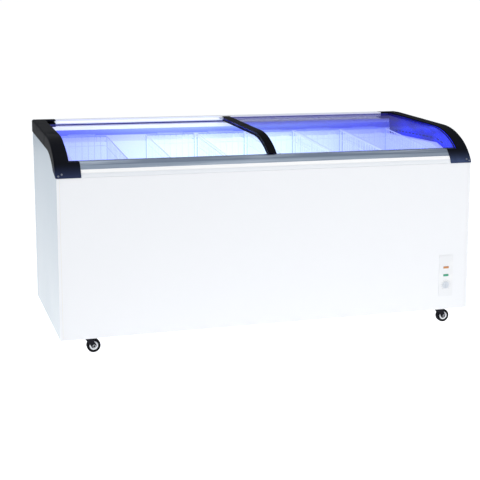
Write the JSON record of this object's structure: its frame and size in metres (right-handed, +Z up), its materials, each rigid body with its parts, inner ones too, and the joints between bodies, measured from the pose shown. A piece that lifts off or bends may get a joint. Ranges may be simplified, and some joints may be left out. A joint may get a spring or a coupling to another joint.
{
  "type": "chest freezer",
  "caption": "Display chest freezer with a curved glass top of sliding lids between moulded end arches, hanging baskets inside, and swivel casters.",
  "frame": {"origin": "on the floor, below the middle of the object", "axes": "+X to the right along the front, +Y towards the back, +Z up; the front faces -Y"},
  "size_m": [1.6, 0.7, 0.791],
  "materials": {
    "white_sheet": "satin",
    "side_sheet": "satin",
    "zinc_sheet": "satin",
    "foam": "matte",
    "tub_sheet": "satin",
    "white_rim": "gloss",
    "frame_black": "satin",
    "trim_blue": "gloss",
    "rail_aluminium": "satin",
    "rear_rail_silver": "satin",
    "light_cover": "satin",
    "screw_steel": "gloss",
    "lid_glass": "gloss",
    "lid_black": "satin",
    "lid_seal": "matte",
    "basket_wire": "gloss",
    "caster_black": "satin",
    "caster_wheel": "satin",
    "control_white": "satin",
    "lamp_orange": "gloss",
    "lamp_green": "gloss",
    "knob_grey": "satin",
    "thermostat_case": "matte",
    "grille_grey": "satin",
    "gland_black": "matte",
    "drain_white": "satin",
    "plug_rubber": "matte",
    "copper": "satin",
    "compressor_black": "satin",
    "grommet_rubber": "matte",
    "relay_case": "matte",
    "condenser_fins": "satin",
    "motor_steel": "satin",
    "blade_plastic": "satin"
  },
  "bodies": {
    "cabinet": {"back_panel": "white_sheet", "base_pan": "zinc_sheet", "cable_gland": "gland_black", "caster_plates": "zinc_sheet", "compressor": "compressor_black", "compressor_grommets": "grommet_rubber", "condenser": "condenser_fins", "control_plate": "control_white", "drain_spout": "drain_white", "evaporator_coil": "copper", "fan_motor": "motor_steel", "filter_drier": "copper", "frame_screws": "screw_steel", "front_panel": "white_sheet", "front_rail": "rail_aluminium", "front_rim": "white_rim", "insulation": "foam", "left_end_frame": "frame_black", "left_end_trim": "trim_blue", "left_side_panel": "side_sheet", "light_channel": "rail_aluminium", "light_cover": "light_cover", "liner": "tub_sheet", "machine_tray": "zinc_sheet", "power_lamp": "lamp_orange", "rear_rail": "rear_rail_silver", "rear_upstand": "tub_sheet", "relay_box": "relay_case", "right_end_frame": "frame_black", "right_end_trim": "trim_blue", "right_side_panel": "white_sheet", "run_lamp": "lamp_green", "side_grille": "grille_grey", "thermostat_body": "thermostat_case"},
    "front_left_swivel": {"front_left_fork": "caster_black"},
    "front_left_roller": {"front_left_wheel": "caster_wheel"},
    "front_right_swivel": {"front_right_fork": "caster_black"},
    "front_right_roller": {"front_right_wheel": "caster_wheel"},
    "rear_left_swivel": {"rear_left_fork": "caster_black"},
    "rear_left_roller": {"rear_left_wheel": "caster_wheel"},
    "rear_right_swivel": {"rear_right_fork": "caster_black"},
    "rear_right_roller": {"rear_right_wheel": "caster_wheel"},
    "upper_lid": {"upper_lid_glass": "lid_glass", "upper_lid_runners": "lid_black", "upper_lid_stile": "lid_black", "upper_lid_seal": "lid_seal"},
    "lower_lid": {"lower_lid_glass": "lid_glass", "lower_lid_runners": "lid_black", "lower_lid_stile": "lid_black", "lower_lid_seal": "lid_seal"},
    "basket_1": {"basket_1": "basket_wire"},
    "basket_2": {"basket_2": "basket_wire"},
    "basket_3": {"basket_3": "basket_wire"},
    "basket_4": {"basket_4": "basket_wire"},
    "basket_5": {"basket_5": "basket_wire"},
    "basket_6": {"basket_6": "basket_wire"},
    "dial": {"thermostat_knob": "knob_grey"},
    "fan": {"fan_blade": "blade_plastic"},
    "plug": {"drain_plug": "plug_rubber"}
  },
  "joints": [
    {"name": "front_left_caster_turn", "type": "hinge", "parent": "cabinet", "child": "front_left_swivel", "pos_m": [-0.697, -0.29, 0.064], "axis": [0, 0, 1], "continuous": true},
    {"name": "front_left_wheel_spin", "type": "hinge", "parent": "front_left_swivel", "child": "front_left_roller", "pos_m": [-0.672, -0.29, 0.025], "axis": [0, 1, 0], "continuous": true},
    {"name": "front_right_caster_turn", "type": "hinge", "parent": "cabinet", "child": "front_right_swivel", "pos_m": [0.697, -0.29, 0.064], "axis": [0, 0, 1], "continuous": true},
    {"name": "front_right_wheel_spin", "type": "hinge", "parent": "front_right_swivel", "child": "front_right_roller", "pos_m": [0.722, -0.29, 0.025], "axis": [0, 1, 0], "continuous": true},
    {"name": "rear_left_caster_turn", "type": "hinge", "parent": "cabinet", "child": "rear_left_swivel", "pos_m": [-0.697, 0.29, 0.064], "axis": [0, 0, 1], "continuous": true},
    {"name": "rear_left_wheel_spin", "type": "hinge", "parent": "rear_left_swivel", "child": "rear_left_roller", "pos_m": [-0.672, 0.29, 0.025], "axis": [0, 1, 0], "continuous": true},
    {"name": "rear_right_caster_turn", "type": "hinge", "parent": "cabinet", "child": "rear_right_swivel", "pos_m": [0.697, 0.29, 0.064], "axis": [0, 0, 1], "continuous": true},
    {"name": "rear_right_wheel_spin", "type": "hinge", "parent": "rear_right_swivel", "child": "rear_right_roller", "pos_m": [0.722, 0.29, 0.025], "axis": [0, 1, 0], "continuous": true},
    {"name": "upper_lid_slide", "type": "slide", "parent": "cabinet", "child": "upper_lid", "axis": [1, 0, 0], "range_m": [-0.72, 0]},
    {"name": "lower_lid_slide", "type": "slide", "parent": "cabinet", "child": "lower_lid", "axis": [1, 0, 0], "range_m": [0, 0.72]},
    {"name": "dial_turn", "type": "hinge", "parent": "cabinet", "child": "dial", "pos_m": [0.703, -0.346, 0.1615], "axis": [0, -1, 0], "range_deg": [-135, 135]},
    {"name": "fan_spin", "type": "hinge", "parent": "cabinet", "child": "fan", "pos_m": [0.6295, 0.203, 0.1852], "axis": [0, 1, 0], "continuous": true},
    {"name": "drain_plug_pull", "type": "slide", "parent": "cabinet", "child": "plug", "axis": [0, 0, 1], "range_m": [0, 0.03]},
    {"name": "basket_1_lift", "type": "slide", "parent": "cabinet", "child": "basket_1", "axis": [0, 0, 1], "range_m": [0, 0.008]},
    {"name": "basket_2_lift", "type": "slide", "parent": "cabinet", "child": "basket_2", "axis": [0, 0, 1], "range_m": [0, 0.008]},
    {"name": "basket_3_lift", "type": "slide", "parent": "cabinet", "child": "basket_3", "axis": [0, 0, 1], "range_m": [0, 0.008]},
    {"name": "basket_4_lift", "type": "slide", "parent": "cabinet", "child": "basket_4", "axis": [0, 0, 1], "range_m": [0, 0.008]},
    {"name": "basket_5_lift", "type": "slide", "parent": "cabinet", "child": "basket_5", "axis": [0, 0, 1], "range_m": [0, 0.008]},
    {"name": "basket_6_lift", "type": "slide", "parent": "cabinet", "child": "basket_6", "axis": [0, 0, 1], "range_m": [0, 0.008]}
  ]
}
